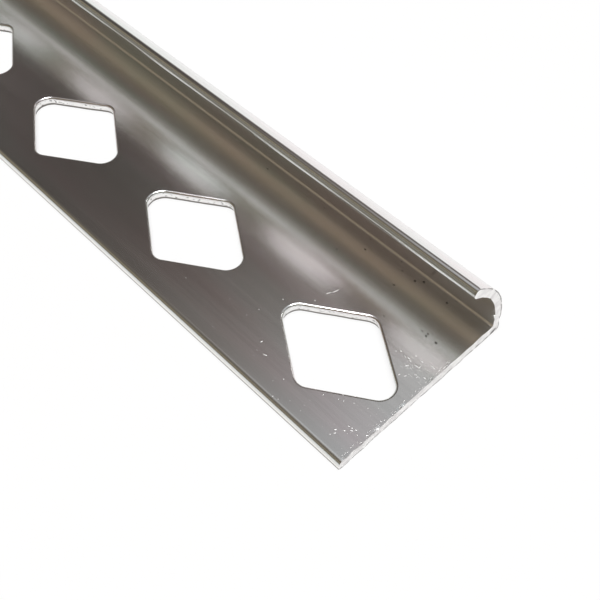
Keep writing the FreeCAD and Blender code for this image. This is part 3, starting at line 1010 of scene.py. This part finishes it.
# %% Mesh
mesh = bpy.data.meshes.new("trim_skin")
mesh.vertices.add(len(places))
mesh.vertices.foreach_set("co", (places * MM).astype(np.float32).ravel())
mesh.loops.add(len(corner_vertex))
mesh.loops.foreach_set("vertex_index", corner_vertex.astype(np.int32))
mesh.polygons.add(len(sizes))
mesh.polygons.foreach_set("loop_start", loop_start.astype(np.int32))
mesh.polygons.foreach_set("use_smooth", np.ones(len(sizes), bool))
mesh.update(calc_edges=True)
for name, values in zip(MARKS[:-1], corner_marks.T):
    attribute = mesh.attributes.new(name, "FLOAT", "CORNER")
    attribute.data.foreach_set("value", values.astype(np.float32))
mesh.normals_split_custom_set(ways.astype(np.float32))
trim = bpy.data.objects.new("trim_skin", mesh)
bpy.context.collection.objects.link(trim)
print("trim box in mm:", places.min(0).round(3).tolist(), places.max(0).round(3).tolist())

# %% [markdown]
# The finish is one material, because it is one metal. The masks from the mesh say where it is
# punched, sawn, scratched, pitted, satin or burred. The patterns come from noises on Object
# coordinates. The die draws its lines along X, so their noise is stretched twenty-five to eighty
# times along it. The punch's noise is stretched along Z and the saw's along Y, the way each went.

# %% Masks and noises
aluminium, tree = new_tree("bright_aluminium")
place = Wire.node(tree, "ShaderNodeTexCoord", output="Object")
punched, sawn, scratched, pitted, satin, burred = (
    Wire.node(tree, "ShaderNodeAttribute", {"attribute_name": name}, output="Fac") for name in MARKS[:-1]
)
raw = punched.most(sawn)


def stretched_noise(scale, detail):
    """Noise on Object coordinates, with its own number of cells per metre along each axis."""
    spot = Wire.node(tree, "ShaderNodeMapping", None, {"Vector": place, "Scale": scale})
    inputs = {"Vector": spot, "Scale": 1.0, "Detail": detail, "Roughness": 0.5}
    return Wire.node(tree, "ShaderNodeTexNoise", {"noise_dimensions": "3D"}, inputs)


die_lines = stretched_noise((60.0, 5000.0, 5000.0), 2.0)
die_waves = stretched_noise((20.0, 500.0, 500.0), 2.0)
haze = stretched_noise((40.0, 300.0, 300.0), 3.0)
grain = stretched_noise((3500.0, 3500.0, 3500.0), 2.0)
shear = stretched_noise((6000.0, 6000.0, 900.0), 3.0)
saw = stretched_noise((1500.0, 900.0, 7000.0), 3.0)
saw_tone = stretched_noise((300.0, 500.0, 4500.0), 2.0)
print("noise nodes:", sum(node.type == "TEX_NOISE" for node in tree.nodes))

# %% [markdown]
# The bare metal has a thin film that is a little pink. It turns a little green in patches, along
# the leg's edge and in a band by the wall, and lines of duller metal run through it
# lengthwise. Bare aluminium could be one grey, but then the leg would look like plastic.

# %% Tints of the bare metal
DULL_PINK, DULL_GREEN = (0.775, 0.742, 0.745), (0.736, 0.762, 0.748)
CLEAR_PINK, CLEAR_GREEN = (0.820, 0.787, 0.790), (0.781, 0.807, 0.793)
GREEN_SHARE = 0.85
# Places across the trim, in metres, where the green starts and is full.
GREEN_EDGE = (-0.0092, -0.0116)
BAND_START, BAND_END = (0.0056, 0.0064), (0.0076, 0.0068)

across_y, up_z = place.part("Y"), place.part("Z")
patchy = stretched_noise((45.0, 160.0, 160.0), 2.0).ease(0.35, 0.65)
streaky = stretched_noise((14.0, 2600.0, 2600.0), 3.0).ease(0.34, 0.66)
wall_band = across_y.ease(*BAND_START) * across_y.ease(*BAND_END)
greenish = across_y.ease(*GREEN_EDGE).most(wall_band)
film = patchy.most(greenish * GREEN_SHARE)
bare = streaky.blend(film.blend(DULL_PINK, DULL_GREEN), film.blend(CLEAR_PINK, CLEAR_GREEN))
print("nodes so far:", len(tree.nodes))

# %% [markdown]
# Cuts show the metal's inside, which is paler. The sawn face is mottled. A broken dark line of
# painted shade runs under each hole's rolled rim, where a small ledge would shade the wall, dark
# flecks lie on its wall, the burr's edge has gaps of painted shade, and the lowest third of a
# millimetre is darkened with painted shade where the trim meets the floor. The scratches and the
# satin strips are the palest metal of all, and on the satin strips this paleness is a painted highlight.

# %% Colour of cuts and marks
PALE_CUT, SCRATCH_BRIGHT, SATIN_SHEEN = (0.96, 0.955, 0.95), (0.96, 0.96, 0.96), (1.0, 0.98, 0.94)
SAWN_DARK, SAWN_PALE = (0.70, 0.685, 0.685), (0.90, 0.895, 0.89)
DIRT_AND_SHADE, FOOT_SHADE_COLOUR = (0.10, 0.095, 0.09), (0.20, 0.185, 0.17)
LEDGE_SHADE_DARK, FLECK_DARK, BURR_SHADE_DARK, FOOT_SHADE_STRENGTH = 0.30, 0.7, 0.8, 0.95
# In metres: the height of the painted shade line, how ragged it is and its soft half width, and the edge
# of the painted shade at the foot.
LEDGE_SHADE_Z = (LEG - RIM_DEEP + 0.06) * MM
RAGGED, LEDGE_SHADE_EDGE = 0.00022, (0.00006, 0.00002)
FOOT_SHADE_EDGE = (0.00042, 0.00030)
SPOTTY_SHARE, SAW_SHARE = 0.6, 0.4

ragged = stretched_noise((1500.0, 1500.0, 300.0), 3.0)
gaps = stretched_noise((900.0, 900.0, 900.0), 2.0).ease(0.38, 0.52)
# Painted shade: a ragged dark line on each hole's wall just under the rolled rim.
ledge_shade = abs(up_z + ragged * RAGGED - LEDGE_SHADE_Z).ease(*LEDGE_SHADE_EDGE) * punched * gaps
flecks = stretched_noise((2600.0, 2600.0, 2600.0), 2.0).ease(0.58, 0.66) * punched
spotty = stretched_noise((800.0, 800.0, 800.0), 3.0)
mottled = (spotty * SPOTTY_SHARE + saw_tone * SAW_SHARE).ease(0.36, 0.62)
# Painted shade on the lowest third of a millimetre, where the trim meets the floor; the sawn ends don't
# get it.
foot_shade = up_z.ease(*FOOT_SHADE_EDGE) * (1.0 - sawn)
base = punched.blend(bare, PALE_CUT)
base = sawn.blend(base, mottled.blend(SAWN_DARK, SAWN_PALE))
# Painted highlight: the corner by the wall and the thin face are paler than the bare metal.
base = satin.blend(base, SATIN_SHEEN)
base = scratched.blend(base, SCRATCH_BRIGHT)
# Dark pits and flecks, together with painted shade: the line under the rims, the end's edges and the
# burr's gaps.
dark = (ledge_shade * LEDGE_SHADE_DARK).most(pitted).most(flecks * FLECK_DARK).most(burred * gaps * BURR_SHADE_DARK)
base = dark.blend(base, DIRT_AND_SHADE)
base = (foot_shade * FOOT_SHADE_STRENGTH).blend(base, FOOT_SHADE_COLOUR)
print("nodes so far:", len(tree.nodes))

# %% [markdown]
# The relief of the finish is a bump, because its lines are at most a thousandth of a millimetre
# high on the bare metal and two hundredths on the cuts: too fine for the mesh. The polished
# metal has a low roughness with a little haze in it, and the cuts and marks are rougher.

# %% Bright aluminium, put together
# Heights in metres, then roughnesses.
LINE_HIGH, WAVE_HIGH, GRAIN_HIGH, SHEAR_HIGH, SAW_HIGH = 0.22e-6, 1.0e-6, 0.1e-6, 16.0e-6, 20.0e-6
POLISHED, HAZY, CUT_ROUGH, MARK_ROUGH, SATIN_ROUGH = 0.17, 0.08, 0.38, 0.5, 0.27

skin_relief = die_lines * LINE_HIGH + die_waves * WAVE_HIGH + grain * GRAIN_HIGH
finish_height = (1.0 - raw) * skin_relief + punched * shear * SHEAR_HIGH + sawn * saw * SAW_HIGH
bump_inputs = {"Strength": 1.0, "Distance": 1.0, "Height": finish_height}
bump = Wire.node(tree, "ShaderNodeBump", None, bump_inputs)
roughness = (1.0 - raw) * (POLISHED + haze * HAZY) + raw * CUT_ROUGH
roughness = roughness.most(scratched.most(pitted) * MARK_ROUGH).most(satin * SATIN_ROUGH)
metal = Wire.node(tree, "ShaderNodeBsdfPrincipled", None, {
    "Base Color": base,
    "Metallic": 1.0,
    "Roughness": roughness,
    "Normal": bump,
})
tree.links.new(metal.socket, tree.nodes.new("ShaderNodeOutputMaterial").inputs["Surface"])
mesh.materials.append(aluminium)
print("material nodes:", len(tree.nodes))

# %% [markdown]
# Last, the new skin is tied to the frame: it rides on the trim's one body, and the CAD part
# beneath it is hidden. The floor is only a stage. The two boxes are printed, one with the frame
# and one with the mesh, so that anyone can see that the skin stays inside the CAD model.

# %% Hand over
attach(trim, "root")
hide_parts("trim_profile")
